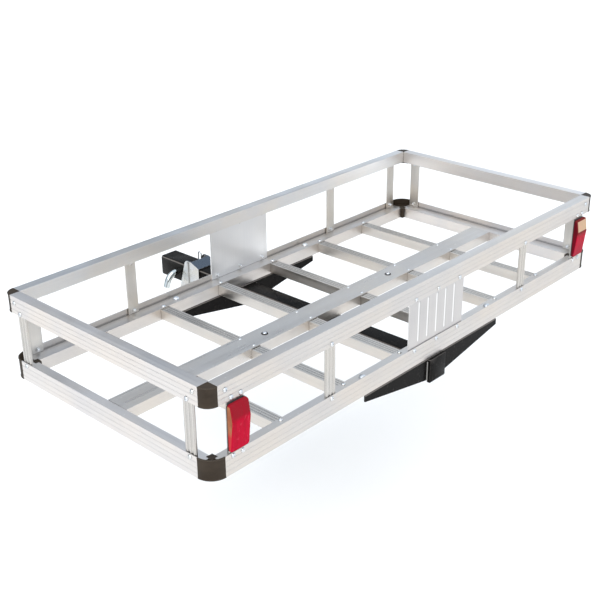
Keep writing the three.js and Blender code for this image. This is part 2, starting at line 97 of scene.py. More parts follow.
def make_camera():
    data = bpy.data.cameras.new("camera")
    data.sensor_width, data.lens = SENSOR_WIDTH, CAMERA_LENS
    data.clip_start, data.clip_end = 0.05, 100
    camera = add_object("camera", data)
    turn = Euler((math.pi / 2 - CAMERA_PITCH, 0, -CAMERA_YAW)).to_matrix().to_4x4()
    place = Matrix.Translation(BASKET + CAMERA_OFFSET)
    camera.matrix_world = place @ turn @ Matrix.Rotation(CAMERA_ROLL, 4, "Z")
    bpy.context.scene.camera = camera
    bpy.context.scene.view_settings.view_transform = "Standard"


def make_floor():
    bm = bmesh.new()
    bmesh.ops.create_grid(bm, x_segments=1, y_segments=1, size=FLOOR_SIZE)
    mesh = bpy.data.meshes.new("floor")
    bm.to_mesh(mesh)
    bm.free()
    mesh.materials.append(Paint("floor", FLOOR_COLOR, 1.0).material)
    floor = add_object("floor", mesh)
    floor.location = BASKET - Z * FLOOR_DROP


def add_node(tree, kind, inputs=None, **settings):
    """A new node, with each input set to a value or linked to another node's output."""
    made = tree.nodes.new(kind)
    for key, value in settings.items():
        setattr(made, key, value)
    for key, value in (inputs or {}).items():
        if isinstance(value, bpy.types.NodeSocket):
            tree.links.new(value, made.inputs[key])
        else:
            made.inputs[key].default_value = value
    return made


def make_sky():
    world = bpy.data.worlds.new("studio")
    bpy.context.scene.world = world
    world.use_nodes = True
    tree = world.node_tree
    place = add_node(tree, "ShaderNodeTexCoord")
    split = add_node(tree, "ShaderNodeSeparateXYZ", {0: place.outputs["Generated"]})
    ramp = add_node(tree, "ShaderNodeValToRGB", {0: split.outputs["Z"]})
    side = add_node(tree, "ShaderNodeMapRange", {
        "Value": split.outputs["Y"], "From Min": SKY_SPLIT_START, "From Max": SKY_SPLIT_END})
    sky = add_node(tree, "ShaderNodeMix", {
        "Factor": side.outputs["Result"], "A": (*SKY_BRIGHT, 1), "B": ramp.outputs[0],
    }, data_type="RGBA")
    tree.links.new(sky.outputs["Result"], tree.nodes["Background"].inputs["Color"])
    tree.nodes["Background"].inputs["Strength"].default_value = 1.0
    elements = ramp.color_ramp.elements
    elements.remove(elements[1])
    for i, (height, color) in enumerate(SKY_STOPS):
        stop = elements[0] if i == 0 else elements.new(height)
        stop.position = height
        stop.color = (*color, 1)


def aim(lamp, direction):
    lamp.rotation_euler = direction.to_track_quat("-Z", "Y").to_euler()


def make_lights():
    sun = bpy.data.lights.new("sun", "SUN")
    sun.energy, sun.angle, sun.color = SUN_POWER, SUN_ANGLE, SUN_COLOR
    aim(add_object("sun", sun), SUN_DIRECTION)

    key = bpy.data.lights.new("key", "AREA")
    key.shape = "RECTANGLE"
    key.size, key.size_y = KEY_SIZE
    key.energy, key.color = KEY_POWER, KEY_COLOR
    lamp = add_object("key", key)
    lamp.location = BASKET + KEY_OFFSET
    aim(lamp, -KEY_OFFSET)


# ---------- materials ----------
def shade(color, *factors):
    """A colour times one factor, or one for each channel."""
    return tuple(c * factor for c, factor in zip(color, factors * 3))


def along(axis, fine, coarse):
    """A texture scale that is coarse along one axis and fine across it, for drawn metal."""
    return tuple(coarse if i == "xyz".index(axis) else fine for i in range(3))


class Paint:
    """A material whose procedural masks are mixed into its colour, roughness and bump.

    Masks run from 0 to 1 and are laid out in the object's own coordinates, in metres.
    """

    def __init__(self, name, color, roughness, metallic=0.0, **more):
        self.material = bpy.data.materials.new(name)
        self.material.use_nodes = True
        self.tree = self.material.node_tree
        self.inputs = self.tree.nodes["Principled BSDF"].inputs
        self.shown, self.roughness, self.normal = (*color, 1), roughness, None
        values = {"Base Color": self.shown, "Roughness": roughness, "Metallic": metallic, **more}
        for key, value in values.items():
            self.inputs[key.replace("_", " ")].default_value = value
        self.coord = self.node("ShaderNodeTexCoord").outputs["Object"]

    def node(self, kind, inputs=None, **settings):
        return add_node(self.tree, kind, inputs, **settings)

    def split(self, vector):
        """The X, Y and Z outputs of a vector."""
        return self.node("ShaderNodeSeparateXYZ", {0: vector}).outputs

    def facing(self):
        """The X, Y and Z of the surface normal."""
        return self.split(self.node("ShaderNodeNewGeometry").outputs["Normal"])

    def spread(self, value, low, high, start=0, end=1):
        """Maps start to end onto low to high, and holds it there beyond them."""
        return self.node("ShaderNodeMapRange", {
            "Value": value, "From Min": start, "From Max": end, "To Min": low, "To Max": high,
        }).outputs["Result"]

    def scaled(self, scale):
        """The object's coordinates, times one number or one for each axis."""
        scale = scale if isinstance(scale, tuple) else (scale,) * 3
        mapping = self.node("ShaderNodeMapping", {"Vector": self.coord, "Scale": scale})
        return mapping.outputs["Vector"]

    def noise(self, scale, detail=3, start=0.35, end=0.65):
        texture = self.node(
            "ShaderNodeTexNoise", {"Vector": self.scaled(scale), "Scale": 1, "Detail": detail})
        return self.spread(texture.outputs["Fac"], 0, 1, start, end)

    def cells(self, scale, start, end):
        texture = self.node("ShaderNodeTexVoronoi", {"Vector": self.scaled(scale), "Scale": 1})
        return self.spread(texture.outputs["Distance"], 0, 1, start, end)

    def hollow_shade(self, high, start, end):
        """A mask of the grooves and inside corners, where little of the surroundings is seen, for
        painted shade.
        """
        open_share = self.node(
            "ShaderNodeAmbientOcclusion", {"Distance": 5 * MM}, samples=6, only_local=True)
        return self.spread(open_share.outputs["AO"], high, 0, start, end)

    def edges(self, width_mm, high):
        """A mask of the edges, where a rounded normal differs from the true one."""
        rounded = self.node("ShaderNodeBevel", {"Radius": width_mm * MM}, samples=4)
        true = self.node("ShaderNodeNewGeometry")
        dot = self.node("ShaderNodeVectorMath", {
            0: rounded.outputs["Normal"], 1: true.outputs["Normal"]}, operation="DOT_PRODUCT")
        flip = self.node("ShaderNodeMath", {0: 1, 1: dot.outputs["Value"]}, operation="SUBTRACT")
        return self.spread(flip.outputs[0], 0, high, 0.002, 0.12)

    def rising(self, base, start_mm, end_mm, low=0, high=1):
        """A mask that changes with height, between two distances from a base height."""
        height = self.split(self.coord)["Z"]
        return self.spread(height, low, high, base + start_mm * MM, base + end_mm * MM)

    def both(self, first, second):
        """Where two masks are both high."""
        return self.node("ShaderNodeMath", {0: first, 1: second}, operation="MULTIPLY").outputs[0]

    def tint(self, mask, color, share=None):
        """Blends towards a colour where the mask is high, by no more than a share."""
        if share is not None:
            mask = self.spread(mask, 0, share)
        self.shown = self.node("ShaderNodeMix", {
            "Factor": mask, "A": self.shown, "B": (*color, 1)}, data_type="RGBA").outputs["Result"]
        self.tree.links.new(self.shown, self.inputs["Base Color"])

    def rough(self, mask, low, high):
        """Adds between low and high to the roughness."""
        added = self.spread(mask, low, high)
        self.roughness = self.node(
            "ShaderNodeMath", {0: self.roughness, 1: added}, operation="ADD", use_clamp=True,
        ).outputs[0]
        self.tree.links.new(self.roughness, self.inputs["Roughness"])

    def bump(self, value, depth_mm, strength):
        inputs = {"Strength": strength, "Distance": depth_mm * MM, "Height": value}
        if self.normal:
            inputs["Normal"] = self.normal
        self.normal = self.node("ShaderNodeBump", inputs).outputs["Normal"]
        self.tree.links.new(self.normal, self.inputs["Normal"])


def aluminium(name, axis, color, roughness=0.34, groove_shade=(0.62, 0.70, 0.97)):
    """Mill-finish extrusion: die lines along its length, soft blotches, scratches, and painted
    shade in its grooves.
    """
    paint = Paint(f"aluminium_{name}", color, roughness, 1.0)
    lines = paint.noise(along(axis, 900, 4), detail=2)
    broad = paint.noise(along(axis, 120, 1.5), detail=2)
    blotch = paint.noise(14, detail=4, start=0.42, end=0.7)
    scratch = paint.noise((190, 160, 900), detail=1, start=0.70, end=0.76)
    warm = paint.noise((5, 7, 9), detail=5, start=0.40, end=0.62)
    paint.tint(lines, shade(color, 0.86), share=0.42)
    paint.tint(warm, shade(color, 1.03, 0.985, 0.93), share=0.7)
    paint.tint(blotch, shade(color, 0.90, 0.92, 0.96), share=0.45)
    paint.tint(scratch, (0.93, 0.93, 0.93), share=0.25)
    # Painted shade in the grooves and inside corners.
    paint.tint(paint.hollow_shade(*groove_shade), shade(color, 0.28))
    paint.rough(broad, -0.05, 0.09)
    paint.rough(blotch, 0.0, 0.08)
    paint.bump(lines, 0.012, 0.6)
    paint.bump(broad, 0.03, 0.4)
    return paint.material


def panel_metal(name, color):
    """Pressed sheet: faint drawn lines, and ribs with a painted highlight on one flank and painted
    shade on the other.
    """
    paint = Paint(f"aluminium_{name}", color, 0.40, 1.0)
    lines = paint.noise((500, 500, 5), detail=2)
    blotch = paint.noise((16, 16, 11), detail=4, start=0.42, end=0.7)
    slope = paint.facing()
    paint.tint(lines, shade(color, 0.86), share=0.16)
    paint.tint(blotch, shade(color, 0.92, 0.93, 0.95), share=0.3)
    # Painted shade on the flanks that face +X, and a painted highlight on those that face -X.
    paint.tint(paint.spread(slope["X"], 0, 0.8, 0.06, 0.45), shade(color, 0.45))
    paint.tint(paint.spread(slope["X"], 0.7, 0, -0.45, -0.06), (0.95, 0.94, 0.92))
    paint.rough(blotch, -0.03, 0.08)
    paint.bump(lines, 0.01, 0.4)
    return paint.material


def cap_plastic():
    """Moulded plastic: a fine grain, clouded, and paler along the edges."""
    paint = Paint("cap_plastic", (0.026, 0.017, 0.010), 0.52, Specular_IOR_Level=0.18)
    grain = paint.noise(1500, detail=2)
    cloud = paint.noise((30, 30, 60))
    paint.tint(cloud, (0.050, 0.036, 0.024), share=0.6)
    paint.tint(paint.edges(1.2, 0.55), (0.10, 0.08, 0.06))
    paint.rough(cloud, -0.06, 0.08)
    paint.bump(grain, 0.05, 0.5)
    return paint.material


def black_steel():
    """Powder coat: orange peel, dust and small chips, with a painted highlight on its bends and
    edges.
    """
    paint = Paint("black_steel", (0.0055, 0.0047, 0.0042), 0.28, Specular_IOR_Level=0.05)
    peel = paint.noise(420, detail=2)
    dust = paint.noise(22, detail=5, start=0.5, end=0.75)
    chip = paint.noise(160, detail=4, start=0.66, end=0.70)
    upward = paint.facing()["Z"]
    # A painted highlight on the bends, where a face tilts part way up.
    bend_highlight = paint.both(
        paint.spread(upward, 0, 0.9, 0.15, 0.35), paint.spread(upward, 1, 0, 0.6, 0.85))
    paint.tint(dust, (0.014, 0.012, 0.011), share=0.4)
    paint.tint(bend_highlight, (0.17, 0.15, 0.135))
    # A painted highlight on the edges.
    paint.tint(paint.edges(1.6, 0.7), (0.09, 0.08, 0.073))
    paint.tint(chip, (0.10, 0.09, 0.08), share=0.25)
    paint.rough(dust, -0.03, 0.2)
    paint.bump(peel, 0.045, 0.55)
    return paint.material


def zinc(name, color, painted_facing_light=False):
    """Zinc plate: a fine spangle, faint bluish and straw tints, and paler edges."""
    paint = Paint(name, color, 0.26, 1.0)
    spangle = paint.cells(260, start=0.1, end=0.9)
    cloud = paint.noise(45, detail=4)
    straw = paint.noise((28, 34, 30), detail=2, start=0.52, end=0.72)
    paint.tint(spangle, shade(color, 0.78), share=0.4)
    paint.tint(cloud, (0.60, 0.66, 0.76), share=0.35)
    paint.tint(straw, (0.74, 0.68, 0.52), share=0.3)
    if painted_facing_light:
        # Painted shade on the faces that face along Y, and upward faces tinted dark blue: a black
        # lip with a painted reflection of the sky.
        slope = paint.facing()
        paint.tint(paint.spread(slope["Y"], 0, 0.85, 0.10, 0.50), shade(color, 0.25))
        paint.tint(paint.spread(slope["Y"], 0.85, 0, -0.50, -0.10), shade(color, 0.35))
        paint.tint(paint.spread(slope["Z"], 0, 0.9, 0.3, 0.6), (0.055, 0.075, 0.105))
    paint.tint(paint.edges(0.8, 0.5), (0.86, 0.86, 0.85))
    paint.rough(cloud, -0.06, 0.12)
    paint.bump(spangle, 0.02, 0.4)
    return paint.material


def chrome():
    """Bright bar with wipe marks and dull smudges."""
    paint = Paint("chrome", (0.60, 0.63, 0.62), 0.10, 1.0)
    wipe = paint.noise((60, 500, 500), detail=2)
    smudge = paint.noise(35, detail=4, start=0.45, end=0.7)
    paint.tint(smudge, (0.36, 0.39, 0.38), share=0.4)
    paint.rough(smudge, 0, 0.14)
    paint.bump(wipe, 0.008, 0.5)
    return paint.material


def plain(name, color, roughness, grain_scale, depth_mm, metallic=0.0):
    """A grained surface with soft clouds of a lighter tone."""
    paint = Paint(name, color, roughness, metallic)
    grain = paint.noise(grain_scale)
    cloud = paint.noise(40)
    paint.tint(cloud, tuple(min(1, c * 1.35 + 0.01) for c in color), share=0.5)
    paint.rough(cloud, -0.05, 0.08)
    paint.bump(grain, depth_mm, 0.5)
    return paint.material


# In millimetres: a lens's crest above its foot, and its window's inboard edge from its middle.
CREST_HEIGHT, WINDOW_EDGE = 60, 17.5


def paint_window(paint, slope, low, high, outboard):
    """The right lens: darker below its crest, with a clear window above it, outboard."""
    crest = low.z + CREST_HEIGHT * MM
    paint.tint(paint.rising(low.z, 6, 42, 0.8, 0), (0.33, 0.010, 0.030))
    paint.tint(paint.rising(crest, -12, 1), (0.13, 0.018, 0.014), share=0.85)
    edge, fade = (low.x + high.x) / 2 - outboard * WINDOW_EDGE * MM, outboard * 0.5 * MM
    across = paint.split(paint.coord)["X"]
    pane = paint.spread(across, 0, 1, edge - fade, edge + fade)
    pane = paint.both(pane, paint.rising(crest, 2, 3))
    pane = paint.both(pane, paint.rising(high.z, -4, -3, 1, 0))
    pane = paint.both(pane, paint.spread(slope["Y"], 1, 0, -0.9, -0.7))
    paint.tint(pane, (0.60, 0.39, 0.25), share=0.94)
    cloud = paint.noise((130, 60, 130), start=0.45)
    paint.tint(paint.both(pane, paint.spread(cloud, 0, 0.4)), (0.44, 0.36, 0.22))
    paint.tint(paint.spread(slope["X"], 0.9, 0, -0.9, -0.6), (0.11, 0.004, 0.010))


def paint_marker(paint, slope, low, outboard, streaks):
    """The left lens: an outboard side with a painted pinkish highlight low down, which turns amber
    towards its top.
    """
    flank = paint.spread(slope["X"], 0, 1, outboard * 0.80, outboard * 0.96)
    # A painted pinkish highlight on the outboard side, which the amber covers towards the top.
    paint.tint(flank, (0.50, 0.055, 0.050), share=0.85)
    marker = paint.both(flank, paint.rising(low.z, 30, 46))
    paint.tint(marker, (0.42, 0.20, 0.09), share=0.95)
    paint.tint(paint.both(marker, streaks), (0.28, 0.10, 0.05))


def lens_plastic(label, outboard):
    """Moulded lens: dark red above its crest, bright red below, with faint prisms, painted glints,
    and painted shade on its +X and lower sides.
    """
    red = (0.47, 0.003, 0.026)
    paint = Paint(f"lens_{label}", red, 0.24, IOR=1.49, Specular_IOR_Level=0.03)
    low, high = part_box(f"light_lens_{label}")
    slope = paint.facing()
    streaks = paint.noise((150, 60, 22), start=0.42, end=0.66)
    glints = paint.noise((120, 60, 70), detail=4, start=0.60, end=0.72)
    above = paint.rising(low.z + CREST_HEIGHT * MM, -2, 6)
    paint.tint(above, (0.235, 0.012, 0.019), share=0.92)
    paint.tint(streaks, (0.30, 0.004, 0.016), share=0.5)
    # Painted glints.
    paint.tint(glints, (0.85, 0.12, 0.16), share=0.25)
    if label == "right":
        paint_window(paint, slope, low, high, outboard)
    else:
        paint_marker(paint, slope, low, outboard, streaks)
    # Painted shade on the sides that face +X and on the faces that face down.
    paint.tint(paint.spread(slope["X"], 0, 0.9, 0.35, 0.8), (0.09, 0.003, 0.008))
    paint.tint(paint.spread(slope["Z"], 0.85, 0, -0.8, -0.45), (0.09, 0.003, 0.008))
    waves = {"Vector": paint.coord, "Scale": 90}
    prisms = paint.node("ShaderNodeTexWave", waves, bands_direction="X").outputs["Fac"]
    paint.tint(prisms, (0.20, 0.003, 0.010), share=0.12)
    paint.bump(prisms, 0.10, 0.35)
    return paint.material


# Settings for the painted shade in the posts' and slats' grooves.
POST_GROOVE_SHADE = (0.85, 0.70, 0.97)
SLAT_GROOVE_SHADE = (0.85, 0.88, 0.985)
MATERIALS = {
    # The rails' tones differ by side, as painted light and shade: each is as bright as that side is
    # lit.
    "rail_long_light_tone": aluminium("rail_long_light_tone", "x", (0.615, 0.58, 0.55)),
    "rail_upper_front_light_tone": aluminium("rail_upper_front_light_tone", "x", (0.76, 0.745, 0.73)),
    "rail_end_light_tone": aluminium("rail_end_light_tone", "y", (0.71, 0.675, 0.65)),
    "post": aluminium("post", "z", (0.62, 0.595, 0.56), groove_shade=POST_GROOVE_SHADE),
    "slat": aluminium("slat", "y", (0.635, 0.60, 0.56), 0.36, SLAT_GROOVE_SHADE),
    "bar": aluminium("bar", "x", (0.62, 0.59, 0.56), 0.32),
    # The two panels are the same sheet in two tones: painted light and shade, for how each side is
    # lit.
    "panel_rear": panel_metal("panel_rear", (0.57, 0.545, 0.53)),
    "panel_front": panel_metal("panel_front", (0.78, 0.77, 0.765)),
    "cap": cap_plastic(),
    "steel": black_steel(),
    "zinc_hardware": zinc("zinc_hardware", (0.70, 0.70, 0.69)),
    "zinc_plate": zinc("zinc_plate", (0.58, 0.565, 0.53), painted_facing_light=True),
    "chrome": chrome(),
    "housing": plain("light_housing", (0.018, 0.017, 0.017), 0.42, 900, 0.03),
    "board": plain("light_board", (0.05, 0.16, 0.08), 0.45, 500, 0.02),
    "reflector": plain("light_reflector", (0.85, 0.84, 0.80), 0.18, 60, 0.02, metallic=0.9),
    "lens_left": lens_plastic("left", -1),
    "lens_right": lens_plastic("right", 1),
    "weld": plain("weld_bead", (0.22, 0.21, 0.195), 0.34, 400, 0.03, metallic=0.7),
    "solder": plain("solder", (0.72, 0.72, 0.70), 0.25, 300, 0.01, metallic=1.0),
    "bulb": plain("bulb", (0.95, 0.93, 0.86), 0.12, 200, 0.01),
}


# ---------- mesh helpers ----------
def smooth(mesh, sharp_deg=35):
    for face in mesh.polygons:
        face.use_smooth = True
    mesh.set_sharp_from_angle(angle=math.radians(sharp_deg))


def mesh_from(name, bm):
    """Makes a mesh of a working mesh, with its faces outwards, and frees it."""
    bmesh.ops.recalc_face_normals(bm, faces=bm.faces)
    mesh = bpy.data.meshes.new(name)
    bm.to_mesh(mesh)
    bm.free()
    return mesh


def new_piece(name, bm, material, body="carrier", smooth_deg=35, replaces=()):
    mesh = mesh_from(name, bm)
    mesh.materials.append(MATERIALS[material])
    smooth(mesh, smooth_deg)
    made = add_object(name, mesh)
    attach(made, body)
    if replaces:
        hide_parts(*replaces)
    return made


def new_hardware(node, bm, body="carrier", suffix="detail"):
    name = f"{node}_{suffix}"
    return new_piece(name, bm, "zinc_hardware", body, replaces=(node,))


def soften(obj, width_mm):
    """Rounds an object's sharp edges a little, so that they catch the light."""
    obj.modifiers.new("weld", "WELD").merge_threshold = 0.02 * MM
    bevel = obj.modifiers.new("edge", "BEVEL")
    bevel.width = width_mm * MM
    bevel.segments = 2
    bevel.limit_method = "ANGLE"
    bevel.angle_limit = math.radians(40)
    bevel.harden_normals = True
    bevel.use_clamp_overlap = True


def cut(obj, cutter_bm):
    """Cuts a closed mesh out of a piece, and leaves no modifier behind."""
    cutter = add_object("cutter", mesh_from("cutter", cutter_bm))
    modifier = obj.modifiers.new("cut", "BOOLEAN")
    modifier.operation = "DIFFERENCE"
    modifier.solver = "EXACT"
    modifier.object = cutter
    graph = bpy.context.evaluated_depsgraph_get()
    result = bpy.data.meshes.new_from_object(obj.evaluated_get(graph))
    obj.modifiers.clear()
    obj.data = result
    bpy.data.objects.remove(cutter)
    smooth(result)


def carve(bm, cutters):
    """The mesh that is left of a closed solid after each cutter is taken out of it."""
    block = add_object("carved", mesh_from("carved", bm))
    for cutter in cutters:
        cut(block, cutter)
    result = block.data
    bpy.data.objects.remove(block)
    return result


def ring(bm, points):
    return [bm.verts.new(p) for p in points]


def bridge(bm, a, b):
    count = len(a)
    for i in range(count):
        j = (i + 1) % count
        bm.faces.new((a[i], a[j], b[j], b[i]))


def loft(bm, rings):
    """Skins a list of rings of points, and closes both ends."""
    made = [ring(bm, points) for points in rings]
    for a, b in zip(made, made[1:]):
        bridge(bm, a, b)
    bm.faces.new(made[0])
    bm.faces.new(made[-1][::-1])


def frame_of(direction):
    """Two unit vectors square to a direction and to each other."""
    direction = direction.normalized()
    helper = Z if abs(direction.z) < 0.9 else X
    side = direction.cross(helper).normalized()
    return side, side.cross(direction).normalized()


def polar(side, other, angle, radius_mm):
    """The offset of a point at an angle and radius, in the plane of two unit vectors."""
    return (side * math.cos(angle) + other * math.sin(angle)) * radius_mm * MM


def circle(centre, side, other, radius_mm, sides):
    step = 2 * math.pi / sides
    return [centre + polar(side, other, step * i, radius_mm) for i in range(sides)]


def lathe(bm, profile, centre, direction, sides):
    """Turns (radius, height) points, in millimetres, about a line through centre."""
    side, other = frame_of(direction)
    direction = direction.normalized()
    loft(bm, [
        circle(centre + direction * height * MM, side, other, radius, sides)
        for radius, height in profile
    ])


def sweep(bm, path, radius_mm, sides, chamfer_mm):
    """A round rod along a list of points, with chamfered ends."""
    first, last = (path[1] - path[0]).normalized(), (path[-1] - path[-2]).normalized()
    inset = chamfer_mm * MM
    path = [path[0], path[0] + first * inset, *path[1:-1], path[-1] - last * inset, path[-1]]
    radii = [radius_mm] * len(path)
    radii[0] = radii[-1] = radius_mm - chamfer_mm
    ends = [path[0], *path, path[-1]]
    side, _ = frame_of(path[1] - path[0])
    rings = []
    for before, point, after, radius in zip(ends, path, ends[2:], radii):
        tangent = (after - before).normalized()
        side = (side - tangent * side.dot(tangent)).normalized()
        rings.append(circle(point, side, tangent.cross(side), radius, sides))
    loft(bm, rings)


def rounded_rectangle(width, height, radius, segments=6):
    """(x, y) points in millimetres, counter-clockwise, about the origin."""
    points = []
    for cx, cy, start in ((1, -1, -90), (1, 1, 0), (-1, 1, 90), (-1, -1, 180)):
        x, y = cx * (width / 2 - radius), cy * (height / 2 - radius)
        for i in range(segments + 1):
            angle = math.radians(start + 90 * i / segments)
            points.append((x + radius * math.cos(angle), y + radius * math.sin(angle)))
    return points


def threaded_rod(bm, centre, direction, radius_mm, length_mm, pitch_mm, sides=20):
    """A rod with a true helical thread, which runs out over its last turn and a half."""
    side, other = frame_of(direction)
    direction = direction.normalized()
    steps = max(4, int(length_mm / pitch_mm * 6))
    depth = 0.55 * pitch_mm
    rings = []
    for k in range(steps + 1):
        height = length_mm * k / steps
        middle = centre + direction * height * MM
        run_out = min(1, (length_mm - height) / (1.5 * pitch_mm))
        points = []
        for i in range(sides):
            phase = (height / pitch_mm - i / sides) % 1
            crest = 1 - abs(2 * phase - 1)
            radius = radius_mm - depth * (1 - crest) - (1 - run_out) * depth
            points.append(middle + polar(side, other, 2 * math.pi * i / sides, radius))
        rings.append(points)
    loft(bm, rings)


def hex_nut(bm, centre, direction, across_mm, height_mm, spin=0.0):
    """A hexagon with chamfered corners on both faces."""
    side, other = frame_of(direction)
    direction = direction.normalized()
    corner = across_mm / math.sqrt(3)
    chamfer = 0.07 * across_mm
    drop = 0.55 * chamfer
    sides = 36
    rings = []
    for height, shrink in ((0, chamfer), (drop, 0), (height_mm - drop, 0), (height_mm, chamfer)):
        middle = centre + direction * height * MM
        points = []
        for i in range(sides):
            angle = 2 * math.pi * i / sides
            within = (angle + math.pi / 6) % (math.pi / 3) - math.pi / 6
            flat = across_mm / 2 / math.cos(within)
            points.append(middle + polar(side, other, angle + spin, min(flat, corner - shrink)))
        rings.append(points)
    loft(bm, rings)


# ---------- small fasteners ----------
# (radius, height) profiles, and where the fasteners sit, in millimetres.
SCREW_PROFILE = [(4.6, 0), (4.7, 0.5), (4.4, 1.3), (3.6, 2.1), (2.2, 2.7), (0.8, 2.85)]
RIVET_PROFILE = [(3.3, 0), (3.3, 0.35), (2.7, 1.05), (1.4, 1.35), (1.2, 0.9), (0.3, 0.8)]
WASHER_PROFILE = [(7.4, 0), (7.5, 0.3), (7.2, 0.8), (4.0, 0.8)]
LOWER_LIP_DOWN, UPPER_LIP_UP, CORNER_SCREW_DOWN = 6, 4.7, 14
LONG_SIDE_REACH, END_REACH = 583, 250
PANEL_SCREW_PITCH, LIGHT_SCREW_SHIFT = 73, 11
NUT_BEHIND_POST, NUT_BEHIND_PANEL, NUT_BEHIND_LIGHT = 2.3, 4.5, 5.3
RAIL_FLOOR_UP, SLAT_SCREW_Y, RIVET_Y, BAR_SCREW_X, WASHER_SEAT = 27, 258.5, 20, 205, 0.7


def turned(profile, sides):
    bm = bmesh.new()
    lathe(bm, profile, Vector(), Z, sides)
    return mesh_from("turned", bm)


def pan_head_screw():
    head = bmesh.new()
    lathe(head, SCREW_PROFILE, Vector(), Z, 20)
    cross = []
    for turn in (0, math.pi / 2):
        slot = bmesh.new()
        place = Matrix.LocRotScale(mm(0, 0, 2.7), None, mm(4.6, 0.9, 2.4))
        bmesh.ops.create_cube(slot, size=1, matrix=Matrix.Rotation(turn, 4, "Z") @ place)
        cross.append(slot)
    return carve(head, cross)


def nut_on_screw():
    bm = bmesh.new()
    hex_nut(bm, Vector(), Z, 8, 3.4)
    threaded_rod(bm, mm(0, 0, 3.3), Z, 2.3, 2.6, 0.8, 14)
    return mesh_from("nut_on_screw", bm)


# All stand on z = 0, with their outer ends up.
FASTENERS = {
    "screw": pan_head_screw(),
    "nut": nut_on_screw(),
    "rivet": turned(RIVET_PROFILE, 18),
    "washer": turned(WASHER_PROFILE, 28),
}


def scatter(name, kind, places, material="zinc_hardware"):
    """One piece with a copy of a fastener at each (point, direction), each turned at random."""
    bm = bmesh.new()
    for point, direction in places:
        side, other = frame_of(direction)
        spin = random.uniform(0, 2 * math.pi)
        across = side * math.cos(spin) + other * math.sin(spin)
        turn = Matrix((across, direction.cross(across), direction)).transposed()
        place = Matrix.Translation(point) @ turn.to_4x4()
        first = len(bm.verts)
        bm.from_mesh(FASTENERS[kind])
        bm.verts.ensure_lookup_table()
        bmesh.ops.transform(bm, matrix=place, verts=bm.verts[first:])
    new_piece(name, bm, material, smooth_deg=25 if kind == "nut" else 35)


# Each side's outward direction, and the direction that its rails run in.
SIDES = {"rear": (-Y, X), "front": (Y, X), "left": (-X, Y), "right": (X, Y)}


def face_point(side, node, level_z, shift=0):
    """The point on a rail's outer face at a node's middle, at a height and a shift along it."""
    outward, run = SIDES[side]
    rail_low, rail_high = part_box(f"lower_rail_{side}")
    outer = rail_high if side in ("front", "right") else rail_low
    point = middle(node)
    point.z = level_z
    if outward.x:
        point.x = outer.x
    else:
        point.y = outer.y
    return point + run * shift * MM


def behind(places, distance_mm):
    return [(point - outward * distance_mm * MM, -outward) for point, outward in places]


def add_side_screws(side, levels, corner_z):
    """One side's post screws and nuts, and the screws into the corner caps' tongues."""
    outward, run = SIDES[side]
    outside, inside = [], []
    starts = (f"post_{side}", f"corner_post_{side}")
    for node in sorted(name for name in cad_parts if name.startswith(starts)):
        low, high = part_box(node)
        thickness = abs((high - low).dot(outward)) / MM
        places = [(face_point(side, node, z), outward) for z in levels]
        outside += places
        inside += behind(places, thickness + NUT_BEHIND_POST)
    scatter(f"post_screws_{side}", "screw", outside)
    scatter(f"post_nuts_{side}", "nut", inside)

    reach = LONG_SIDE_REACH if run.x else END_REACH
    rail = f"upper_rail_{side}"
    corners = [(face_point(side, rail, corner_z, s * reach), outward) for s in (-1, 1)]
    scatter(f"corner_screws_{side}", "screw", corners)
    rail = f"lower_rail_{side}"
    under = middle(rail)
    under.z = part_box(rail)[0].z
    places = [(under + run * s * reach * MM, -Z) for s in (-1, 1)]
    scatter(f"tongue_screws_{side}", "screw", places)


def add_bed_fasteners():
    """Screws through the slats' ends, and rivets and two washered screws on the centre bar."""
    rail_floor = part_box("lower_rail_right")[0].z + RAIL_FLOOR_UP * MM
    bar_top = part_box("centre_bar")[1].z
    slat_screws, rivets = [], []
    for i in range(1, 7):
        x = middle(f"slat_{i}").x
        for sign in (-1, 1):
            slat_screws.append((Vector((x, BASKET.y + sign * SLAT_SCREW_Y * MM, rail_floor)), Z))
            rivets.append((Vector((x, BASKET.y + sign * RIVET_Y * MM, bar_top)), Z))
    scatter("slat_screws", "screw", slat_screws)
    scatter("bar_rivets", "rivet", rivets)
    places = [(Vector((s * BAR_SCREW_X * MM, BASKET.y, bar_top)), Z) for s in (-1, 1)]
    scatter("bar_washers", "washer", places, "steel")
    scatter("bar_screws", "screw", [(point + Z * WASHER_SEAT * MM, Z) for point, _ in places])


def add_small_fasteners():
    upper_low, upper_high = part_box("upper_rail_rear")
    lower_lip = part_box("lower_rail_rear")[1].z - LOWER_LIP_DOWN * MM
    levels = (lower_lip, upper_low.z + UPPER_LIP_UP * MM)
    for side in SIDES:
        add_side_screws(side, levels, upper_high.z - CORNER_SCREW_DOWN * MM)

    # The two parts of a name, a node, its side, the shifts along it, and the nuts' distance.
    panel_shifts = (-PANEL_SCREW_PITCH, 0, PANEL_SCREW_PITCH)
    light_shifts = (-LIGHT_SCREW_SHIFT, LIGHT_SCREW_SHIFT)
    for kind, label, node, side, shifts, nut_behind in (
        ("panel", "rear", "panel_rear", "rear", panel_shifts, NUT_BEHIND_PANEL),
        ("panel", "front", "panel_front", "front", panel_shifts, NUT_BEHIND_PANEL),
        ("light", "left", "light_plate_left", "rear", light_shifts, NUT_BEHIND_LIGHT),
        ("light", "right", "light_plate_right", "rear", light_shifts, NUT_BEHIND_LIGHT),
    ):
        outward, _ = SIDES[side]
        places = [(face_point(side, node, z, s), outward) for z in levels for s in shifts]
        scatter(f"{kind}_screws_{label}", "screw", places)
        scatter(f"{kind}_nuts_{label}", "nut", behind(places, nut_behind))
    add_bed_fasteners()


# ---------- corner caps ----------
CAP_WALL, TONGUE_REACH, RAIL_WALL_SPACE, LIP_WALL = 2.0, 45, 2.1, 2.3
